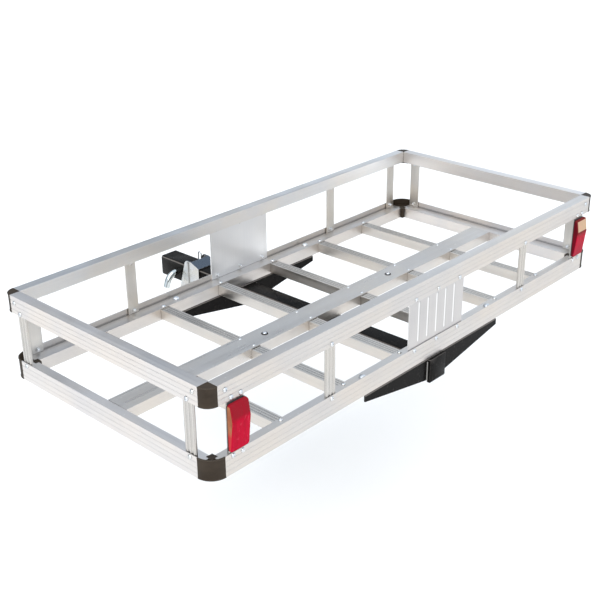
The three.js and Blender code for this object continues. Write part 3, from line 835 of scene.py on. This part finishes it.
# The rims at a cap's two ends: (distance from the end, how far it stands out), in millimetres.
CAP_RIM = ((0, 0.3), (0.5, 0.8), (1.5, 0.8), (2.0, 0.3), (2.1, 0))


def quarter_outline(radius, beyond):
    """The plan of a corner cap, about its inside corner, rounded towards -X and -Y."""
    steps, quarter = 14, math.pi / 2
    angles = (2 * quarter + quarter * i / steps for i in range(steps + 1))
    arc = [(radius * math.cos(a), radius * math.sin(a)) for a in angles]
    if beyond:
        return [(beyond, beyond), (-radius, beyond), *arc, (beyond, -radius)]
    return [(0, 0), *arc]


def add_tongues(bm, corner, sign_x, sign_y, radius, bottom, top):
    """The two blocks that stand inside the rails' ends, each tapered at its tip."""
    chamfer = 0.8
    for run, across in ((X * -sign_x, Y * sign_y), (Y * -sign_y, X * sign_x)):
        rings = []
        for distance in (-1, TONGUE_REACH - 1, TONGUE_REACH):
            inset = chamfer if distance == TONGUE_REACH else 0
            near, far = RAIL_WALL_SPACE + inset, radius - LIP_WALL - inset
            low, high = bottom + inset, top - inset
            rings.append([
                corner + run * distance * MM + across * a * MM + Z * b * MM
                for a, b in ((near, low), (far, low), (far, high), (near, high))
            ])
        loft(bm, rings)


def add_cap(node, sign_x, sign_y, level):
    """A moulded cap: a quarter-round block with proud rims, a pocket and two tongues.

    The pocket opens upwards in a lower cap, round a square pillar, and downwards in an upper one.
    """
    low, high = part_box(f"{level}_rail_rear")
    radius = (high.y - low.y) / MM
    cap_low, cap_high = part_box(node)
    span = (cap_high.z - cap_low.z) / MM
    corner = Vector((
        sign_x * abs(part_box(f"{level}_rail_right")[0].x),
        BASKET.y + sign_y * abs(high.y - BASKET.y),
        cap_low.z,
    ))

    def outline(z, grow, beyond=0):
        return [
            corner + mm(-sign_x * x, -sign_y * y, z)
            for x, y in quarter_outline(radius + grow, beyond)
        ]

    if level == "lower":
        pocket_low, pocket_high = 25, span + 1
        tongue_low, tongue_high = 2.1, 24.9
    else:
        pocket_low, pocket_high = -1, 9
        tongue_low, tongue_high = span - 26.4, span - 2.1
    layers = [*CAP_RIM, *((span - z, grow) for z, grow in reversed(CAP_RIM))]
    block, pocket = bmesh.new(), bmesh.new()
    loft(block, [outline(z, grow) for z, grow in layers])
    loft(pocket, [outline(z, -CAP_WALL, 1) for z in (pocket_low, pocket_high)])
    bm = bmesh.new()
    bm.from_mesh(carve(block, [pocket]))
    if level == "lower":
        pillar = rounded_rectangle(14, 14, 0.8, 3)
        loft(bm, [
            [corner + mm(x, y, z) for x, y in pillar] for z in (0.1, 26.3, 26.7)
        ])
    add_tongues(bm, corner, sign_x, sign_y, radius, tongue_low, tongue_high)
    new_piece(f"{node}_moulding", bm, "cap", replaces=(node,))


def add_caps():
    for level in ("lower", "upper"):
        for label_y, sign_y in (("rear", -1), ("front", 1)):
            for label_x, sign_x in (("left", -1), ("right", 1)):
                add_cap(f"{level}_cap_{label_y}_{label_x}", sign_x, sign_y, level)


# ---------- pressed panels ----------
SHEET_THICKNESS, RIB_PROUD = 2.0, 1.2
RIB_PITCH, RIB_HALF, RIB_FLANK, RIB_LOW, RIB_HIGH = 29.5, 3.4, 2.0, 22.7, 110.7
PANEL_COLUMNS, PANEL_ROWS = 273, 74


def rib_rise(x, z):
    """How far a panel stands out at a point, from its five round-ended ribs."""
    best = 0.0
    beyond_end = max(RIB_LOW + RIB_HALF - z, 0, z - (RIB_HIGH - RIB_HALF))
    for i in range(-2, 3):
        distance = math.hypot(x - i * RIB_PITCH, beyond_end)
        fall = min(max((distance - RIB_HALF + RIB_FLANK) / RIB_FLANK, 0), 1)
        best = max(best, 0.5 + 0.5 * math.cos(math.pi * fall))
    return best * RIB_PROUD


def panel_rim(grid):
    """A grid's outermost vertices, in order round it."""
    return (
        grid[0][:-1] + [row[-1] for row in grid[:-1]]
        + grid[-1][:0:-1] + [row[0] for row in grid[:0:-1]]
    )


def add_panel(side):
    """Sheet with five ribs pressed out of its outer face, and a flat inner face."""
    node = f"panel_{side}"
    low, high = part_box(node)
    outward, _ = SIDES[side]
    height_mm, width_mm = (high.z - low.z) / MM, (high.x - low.x) / MM
    face = low.y if outward.y < 0 else high.y

    bm = bmesh.new()
    skins = []
    for depth in (0.0, SHEET_THICKNESS):
        grid = []
        for r in range(PANEL_ROWS + 1):
            z = height_mm * r / PANEL_ROWS
            line = []
            for c in range(PANEL_COLUMNS + 1):
                x = width_mm * (c / PANEL_COLUMNS - 0.5)
                stand = -depth if depth else rib_rise(x, z)
                spot = Vector((x * MM, face + outward.y * stand * MM, low.z + z * MM))
                line.append(bm.verts.new(spot))
            grid.append(line)
        skins.append(grid)
    front, back = skins
    for grid, order in ((front, 1), (back, -1)):
        for r in range(PANEL_ROWS):
            for c in range(PANEL_COLUMNS):
                quad = [grid[r][c], grid[r][c + 1], grid[r + 1][c + 1], grid[r + 1][c]]
                bm.faces.new(quad[::order])
    bridge(bm, panel_rim(front), panel_rim(back))
    new_piece(f"{node}_ribbed", bm, node, replaces=(node,), smooth_deg=50)


# ---------- tail lights ----------
LIGHT_WIDTH, LIGHT_HEIGHT, LIGHT_CORNER = 45, 92, 6
LENS_TOP, LENS_CREST, LENS_BOTTOM = 5.0, 10.5, 4.0
LENS_STEP, CREST_GROOVE, PILLOW_PITCH = 1.5, 0.6, 3
PILLOW, WINDOW_PILLOW = 0.22, 0.12
BULB_PROFILE = [(2.2, 0), (2.2, 0.4), (1.8, 0.9), (1.0, 1.2), (0.3, 1.3)]
PAD_PROFILE = [(0.9, 0), (0.9, 0.25), (0.4, 0.5)]


def light_shell(x, z, layers):
    """Rounded rectangles, skinned: each layer is (y, inset in millimetres)."""
    rings = []
    for y, inset in layers:
        outline = rounded_rectangle(
            LIGHT_WIDTH - 2 * inset, LIGHT_HEIGHT - 2 * inset, max(LIGHT_CORNER - inset, 1.0), 7)
        rings.append([Vector((x + a * MM, y, z + b * MM)) for a, b in outline])
    bm = bmesh.new()
    loft(bm, rings)
    return bm


def add_light(label):
    """A hollow case, a reflector bowl, a board with six bulbs on solder pads, and a lens."""
    housing = f"light_housing_{label}"
    low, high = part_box(housing)
    x, z = (low.x + high.x) / 2, (low.z + high.z) / 2
    front, back = low.y, high.y

    case = light_shell(x, z, [
        (back, 1.2), (back - 0.8 * MM, 0.4), (front + 1.4 * MM, 0.4), (front + 1.0 * MM, 0.8),
        (front + 1.0 * MM, 1.6), (back - 1.4 * MM, 1.8),
    ])
    new_piece(f"light_case_{label}", case, "housing", replaces=(housing,))

    bowl = light_shell(x, z, [
        (back - 1.5 * MM, 8), (front + 0.6 * MM, 5), (front - 1.5 * MM, 2.9),
        (front - 1.5 * MM, 3.4), (front + 0.9 * MM, 6), (back - 1.7 * MM, 8.4),
    ])
    new_piece(f"light_reflector_{label}", bowl, "reflector")

    board_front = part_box(f"light_board_{label}")[0].y
    bulbs, pads = bmesh.new(), bmesh.new()
    for row in (-22, 0, 22):
        for column in (-7, 7):
            spot = Vector((x, board_front, z)) + mm(column, 0, row)
            lathe(bulbs, BULB_PROFILE, spot, -Y, 16)
            for leg in (-3.6, 3.6):
                lathe(pads, PAD_PROFILE, spot + X * leg * MM, -Y, 10)
    new_piece(f"light_bulbs_{label}", bulbs, "bulb")
    new_piece(f"light_pads_{label}", pads, "solder")
    add_lens(label, x)


def lens_depth(height_mm):
    """How far the lens stands out at a height above its lower edge."""
    if height_mm < CREST_HEIGHT:
        return LENS_BOTTOM + (LENS_CREST - LENS_BOTTOM) * height_mm / CREST_HEIGHT
    share = (height_mm - CREST_HEIGHT) / (LIGHT_HEIGHT - CREST_HEIGHT)
    return LENS_CREST + (LENS_TOP - LENS_CREST) * share


def slice_mesh(bm, point, normal):
    geometry = bm.verts[:] + bm.edges[:] + bm.faces[:]
    bmesh.ops.bisect_plane(bm, geom=geometry, plane_co=point, plane_no=normal)


def add_lens(label, x):
    """A wedge-shaped lens with a rounded rim, and small pillow prisms raised on its front."""
    node = f"light_lens_{label}"
    low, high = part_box(node)
    rim, full, z = high.y, LENS_CREST * MM, (low.z + high.z) / 2
    face = rim - full
    base_z = z - LIGHT_HEIGHT / 2 * MM
    bm = light_shell(x, z, [
        (rim + 1.2 * MM, 0.7), (rim - 0.04 * full, 0.3), (rim - 0.80 * full, 0.8),
        (rim - 0.93 * full, 1.3), (rim - 0.98 * full, 2.1), (face, 3.1),
    ])
    for i in range(1, int(LIGHT_HEIGHT / LENS_STEP)):
        slice_mesh(bm, Vector((x, face, base_z + i * LENS_STEP * MM)), Z)
    for i in range(-14, 15):
        slice_mesh(bm, Vector((x + i * LENS_STEP * MM, face, z)), X)
    flat_half = (LIGHT_WIDTH / 2 - 3.0) * MM
    for vert in bm.verts:
        height = (vert.co.z - base_z) / MM
        depth = (rim - vert.co.y) / full
        on_front = depth > 0.97 and abs(vert.co.x - x) < flat_half
        vert.co.y = rim - depth * lens_depth(height) * MM
        if on_front:
            in_window = label == "right" and height > CREST_HEIGHT + 1
            across = math.cos(vert.co.x / (PILLOW_PITCH * MM) * math.pi)
            pillow = across * math.cos(height / PILLOW_PITCH * math.pi)
            vert.co.y += (WINDOW_PILLOW if in_window else PILLOW) * pillow * MM
            if abs(height - CREST_HEIGHT) < LENS_STEP:
                vert.co.y += CREST_GROOVE * MM
    new_piece(
        f"light_cover_{label}", bm, f"lens_{label}", smooth_deg=30, replaces=(node,))


# ---------- steel tubes, welds and the end block ----------
TUBE_CORNER, SPINE_WALL, SHANK_WALL = 5, 3.0, 2.8
PIN_HOLE_RADIUS = 8.4


def add_tube(node, wall_mm, centre_z):
    """A square tube along Y, open at both ends, with a small chamfer round each end."""
    low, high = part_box(node)
    outer_mm = (high.x - low.x) / MM
    inner_mm = outer_mm - 2 * wall_mm
    outer = rounded_rectangle(outer_mm, outer_mm, TUBE_CORNER)
    inner = rounded_rectangle(inner_mm, inner_mm, TUBE_CORNER - wall_mm)
    back, front, chamfer, step, shrunk = low.y, high.y, 0.6 * MM, 0.2 * MM, 0.985
    layers = (
        (outer, shrunk, back), (outer, 1, back + chamfer),
        (outer, 1, front - chamfer), (outer, shrunk, front),
        (inner, 1, front), (inner, 1, front - step), (inner, 1, back + step), (inner, 1, back),
    )
    bm = bmesh.new()
    made = [
        ring(bm, [Vector((a * scale * MM, y, centre_z + b * scale * MM)) for a, b in outline])
        for outline, scale, y in layers
    ]
    for a, b in zip(made, made[1:] + made[:1]):
        bridge(bm, a, b)
    return new_piece(f"{node}_rounded", bm, "steel", replaces=(node,))


def weld_bead(bm, start, end, radius_mm):
    """A row of overlapping ripples along a line."""
    pitch_mm = 3.2
    run = end - start
    count = max(2, int(run.length / (pitch_mm * MM)))
    steps = count * 4
    side, other = frame_of(run)
    rings = []
    for k in range(steps + 1):
        share = k / steps
        ripple = 0.80 + 0.22 * math.sin(math.pi * (share * count % 1))
        taper = 0.55 if k in (0, steps) else 1
        rings.append(circle(start + run * share, side, other, radius_mm * ripple * taper, 10))
    loft(bm, rings)


def add_end_block():
    """The block that closes the spine's rear end. Returns its joint's y, half width and z."""
    low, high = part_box("spine_end_block")
    face, back = low.y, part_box("frame_beam_rear")[0].y - 0.3 * MM
    side, middle_z = (high.x - low.x) / MM, (low.z + high.z) / 2
    layers = (
        (back, 0.5), (back - 0.5 * MM, 0), (face + 0.8 * MM, 0), (face + 0.25 * MM, 0.3),
        (face, 0.9),
    )
    rings = []
    for y, shrink in layers:
        width = side - 2 * shrink
        outline = rounded_rectangle(width, width, 2)
        rings.append([Vector((a * MM, y, middle_z + b * MM)) for a, b in outline])
    bm = bmesh.new()
    loft(bm, rings)
    new_piece("spine_end_cap", bm, "steel", replaces=("spine_end_block",))
    return back, side / 2 * MM, middle_z


def add_tubes():
    low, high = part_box("spine_tube")
    centre_z, spine_half = (low.z + high.z) / 2, high.x
    add_tube("spine_tube", SPINE_WALL, centre_z)
    shank = add_tube("hitch_shank", SHANK_WALL, centre_z)
    hole = bmesh.new()
    lathe(hole, [(PIN_HOLE_RADIUS, -40), (PIN_HOLE_RADIUS, 40)], Z * centre_z, X, 36)
    cut(shank, hole)

    back, half, block_z = add_end_block()
    beads = bmesh.new()

    def upright(x, y, middle_z, reach, radius_mm):
        ends = (Vector((x, y, middle_z + sign * reach)) for sign in (1, -1))
        weld_bead(beads, *ends, radius_mm)

    for sign in (-1, 1):
        upright(sign * (half + 0.6 * MM), back - 0.2 * MM, block_z, 0.80 * half, 2.0)
    rear_beam, front_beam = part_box("frame_beam_rear"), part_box("frame_beam_front")
    for y in (rear_beam[1].y + 0.8 * MM, front_beam[0].y - 0.8 * MM):
        for sign in (-1, 1):
            upright(sign * (spine_half + 0.3 * MM), y, centre_z, 0.9 * spine_half, 2.4)
        reach = spine_half * 0.95
        under = (Vector((x, y, centre_z - spine_half)) for x in (-reach, reach))
        weld_bead(beads, *under, 2.0)
    new_piece("weld_beads", beads, "weld", smooth_deg=60)


# ---------- bolts ----------
BOLT_HEAD = [(8.0, 0), (8.0, 0.7), (7.4, 1.9), (5.9, 3.3), (3.6, 4.25), (1.4, 4.55), (0.3, 4.6)]
BOLT_WASHER = [(8.2, 0), (8.4, 0.4), (8.2, 1.3)]
BOLT_RADIUS, BOLT_PITCH, CROSS_PITCH = 3.9, 1.25, 1.5


def add_frame_bolts():
    """Round-head bolts through the lower rails and the beams' flanges, with washers and nuts."""
    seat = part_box("lower_rail_right")[0].z + 27.3 * MM
    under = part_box("frame_beam_rear")[1].z - 3.3 * MM
    shank = [(BOLT_RADIUS, 0), (BOLT_RADIUS, -(seat - under) / MM)]
    for label in ("rear_left", "rear_right", "front_left", "front_right"):
        node = f"frame_bolt_{label}"
        x, y, _ = middle(node)
        below = Vector((x, y, under))
        bm = bmesh.new()
        lathe(bm, BOLT_HEAD, Vector((x, y, seat)), Z, 32)
        lathe(bm, shank, Vector((x, y, seat + 0.2 * MM)), Z, 20)
        lathe(bm, BOLT_WASHER, below, -Z, 28)
        hex_nut(bm, Vector((x, y, under - 1.2 * MM)), -Z, 12.6, 5.3, 0.3)
        length = (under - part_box(node)[0].z) / MM - 1
        threaded_rod(bm, below, -Z, BOLT_RADIUS, length, BOLT_PITCH)
        new_hardware(node, bm)


def add_cross_bolt(node, body, radius, across, thread_length, head_mm, nut):
    """A hexagon bolt along X: head on the left, thread and any nut on the right."""
    low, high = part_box(node)
    _, y, z = middle(node)
    seat, plain_end = low.x + head_mm * MM, high.x - thread_length * MM
    shaft = [(radius, 0), (radius, (plain_end - seat) / MM + 0.5)]
    bm = bmesh.new()
    hex_nut(bm, Vector((seat, y, z)), -X, across, head_mm, 0.2)
    lathe(bm, shaft, Vector((seat - 0.3 * MM, y, z)), X, 24)
    threaded_rod(bm, Vector((plain_end, y, z)), X, radius, (high.x - plain_end) / MM, CROSS_PITCH)
    if nut:
        hex_nut(bm, Vector((high.x - 9 * MM, y, z)), X, across, 6, 0.5)
    new_hardware(node, bm, body)


def add_cross_bolts():
    for i in (1, 2):
        add_cross_bolt(f"shank_bolt_{i}", "carrier", 4.0, 13, 12, 5.0, nut=True)
    add_cross_bolt("tightener_bolt", "tightener", 4.2, 14, 16, 6.0, nut=False)
    seat = middle("tightener_nut")
    seat.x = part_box("tightener_nut")[0].x
    bm, hole = bmesh.new(), bmesh.new()
    hex_nut(bm, seat, X, 14, 7, 0.8)
    nut = new_hardware("tightener_nut", bm, "tightener")
    lathe(hole, [(4.3, -3), (4.3, 12)], seat, X, 28)
    cut(nut, hole)


# ---------- hitch pin and clip ----------
# In millimetres and radians, about the middle of the pin's hole through the shank.
PIN_RADIUS, BEND_START, BEND_RADIUS, BEND_TURN, PIN_TAIL = 7.95, -33.0, 30.0, 1.2, 13.0
CLIP_X, CLIP_HOLE_RADIUS, WIRE_RADIUS, LEG_SPACING = 45.0, 2.25, 1.75, 10.6
LEG_LOW, LEG_HIGH, KNEE, TIP, FLARE = -21.0, 26.0, -7.95, -17.0, 5.0


def add_pin():
    """A straight rod through the shank, bent down at its left end."""
    path = [Vector((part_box("hitch_pin")[1].x, 0, 0)), Vector(), X * BEND_START * MM]
    steps = 16
    for i in range(1, steps + 1):
        angle = BEND_TURN * i / steps
        across, down = math.sin(angle), 1 - math.cos(angle)
        path.append(mm(BEND_START - BEND_RADIUS * across, 0, -BEND_RADIUS * down))
    path.append(path[-1] - (X * math.cos(BEND_TURN) + Z * math.sin(BEND_TURN)) * PIN_TAIL * MM)
    bm, hole = bmesh.new(), bmesh.new()
    sweep(bm, path, PIN_RADIUS, 32, 1.6)
    pin = new_piece(
        "hitch_pin_polished", bm, "chrome", "pin", replaces=("hitch_pin",))
    bore = [(CLIP_HOLE_RADIUS, -14), (CLIP_HOLE_RADIUS, 14)]
    lathe(hole, bore, mm(CLIP_X, 0, 0), Z, 20)
    cut(pin, hole)


def add_clip():
    """A hairpin of wire: a straight leg, a round crown, and a spring leg that flares at its tip."""
    def at(y, z):
        return mm(CLIP_X, y, z)

    def curve(steps, *points):
        return interpolate_bezier(*(at(y, z) for y, z in points), steps + 1)[1:]

    crown, bend_highlight, out = LEG_HIGH + 2 / 3 * LEG_SPACING, (KNEE + TIP) / 2, -LEG_SPACING
    path = [at(0, LEG_LOW), at(0, 0), at(0, LEG_HIGH)]
    path += curve(14, (0, LEG_HIGH), (0, crown), (out, crown), (out, LEG_HIGH))
    path += [at(out, 9), at(out, KNEE)]
    path += curve(6, (out, KNEE), (out, bend_highlight), (out - 1, bend_highlight - 1), (out - FLARE, TIP))
    bm = bmesh.new()
    sweep(bm, path, WIRE_RADIUS, 14, 0.5)
    new_hardware("pin_clip", bm, "clip", "wire")


# ---------- finishes on the CAD parts that stay ----------
# The starts of node names, their material, and how much their edges are rounded, in mm.
CAD_FINISHES = (
    (("upper_rail_rear", "lower_rail_rear", "lower_rail_front"), "rail_long_light_tone", 0.35),
    (("upper_rail_front",), "rail_upper_front_light_tone", 0.35),
    (("upper_rail_left", "upper_rail_right", "lower_rail_left", "lower_rail_right"),
     "rail_end_light_tone", 0.35),
    (("post_", "corner_post_", "light_plate_"), "post", 0.3),
    (("slat_",), "slat", 0.3),
    (("centre_bar",), "bar", 0.4),
    (("frame_beam_",), "steel", 0.8),
    (("light_board_",), "board", 0.2),
    (("tightener_saddle",), "zinc_plate", 0.7),
)


def finish_cad_nodes():
    for name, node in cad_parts.items():
        for starts, material, width_mm in CAD_FINISHES:
            if name.startswith(starts) and not node.hide_render:
                node.data.materials.clear()
                node.data.materials.append(MATERIALS[material])
                soften(node, width_mm)


make_camera()
make_floor()
make_sky()
make_lights()
add_caps()
for side_name in ("rear", "front"):
    add_panel(side_name)
for light_label in ("left", "right"):
    add_light(light_label)
add_tubes()
add_frame_bolts()
add_cross_bolts()
add_pin()
add_clip()
add_small_fasteners()
finish_cad_nodes()
